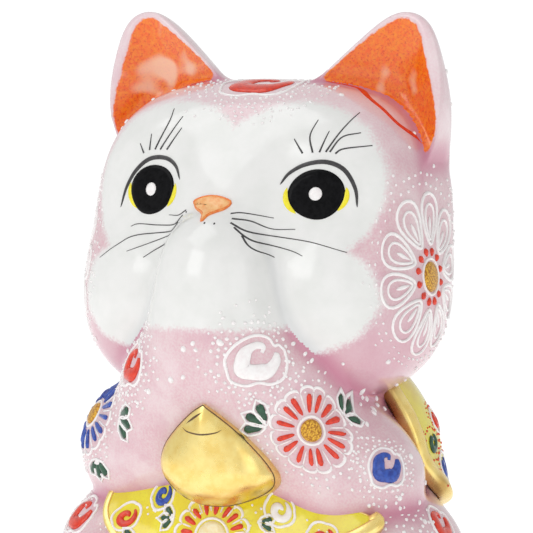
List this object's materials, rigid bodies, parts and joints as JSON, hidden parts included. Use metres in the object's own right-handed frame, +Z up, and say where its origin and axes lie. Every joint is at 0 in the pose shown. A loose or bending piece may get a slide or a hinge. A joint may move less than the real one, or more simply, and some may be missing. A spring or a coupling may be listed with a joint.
{
  "type": "beckoning cat figurine",
  "caption": "Seated porcelain cat with both paws over its mouth, a gold bell, a bib and a back cape, covered in raised enamel flowers.",
  "frame": {"origin": "middle of the flat foot the figurine stands on, at table height", "axes": "+Z up, the cat looks along -Y, its left side is +X"},
  "size_m": [0.1118, 0.0965, 0.1903],
  "materials": {
    "pink_glaze": "clear gloss glaze over pale pink ground, white on face and paws",
    "ear_glaze": "gloss, mottled orange-red wash",
    "yellow_glaze": "gloss overglaze yellow",
    "gold_lustre": "fired bright gold, mirror gloss",
    "white_enamel": "raised gloss enamel",
    "red_enamel": "raised gloss enamel",
    "blue_enamel": "raised gloss enamel",
    "black_enamel": "raised gloss enamel",
    "orange_enamel": "brushed gloss enamel"
  },
  "bodies": {
    "root": {"head_casting": "pink_glaze", "body_casting": "pink_glaze", "left_arm": "pink_glaze", "right_arm": "pink_glaze", "left_ear": "ear_glaze", "right_ear": "ear_glaze", "left_hind_foot": "pink_glaze", "right_hind_foot": "pink_glaze", "tail": "pink_glaze", "bell": "gold_lustre", "bib": "yellow_glaze", "bib_edge": "gold_lustre", "back_cape": "yellow_glaze", "back_cape_edge": "gold_lustre", "left_eye": "black_enamel", "right_eye": "black_enamel", "nose": "orange_enamel", "crown_cloud": "red_enamel", "left_cheek_flower": "white_enamel", "right_cheek_flower": "white_enamel", "nape_flower": "white_enamel", "left_arm_flower": "red_enamel", "right_arm_flower": "blue_enamel", "left_elbow_cloud": "blue_enamel", "left_wrist_cloud": "white_enamel", "right_arm_cloud": "red_enamel", "left_thigh_flower": "red_enamel", "right_thigh_flower": "blue_enamel", "left_knee_cloud": "red_enamel", "right_knee_cloud": "red_enamel"}
  },
  "joints": []
}
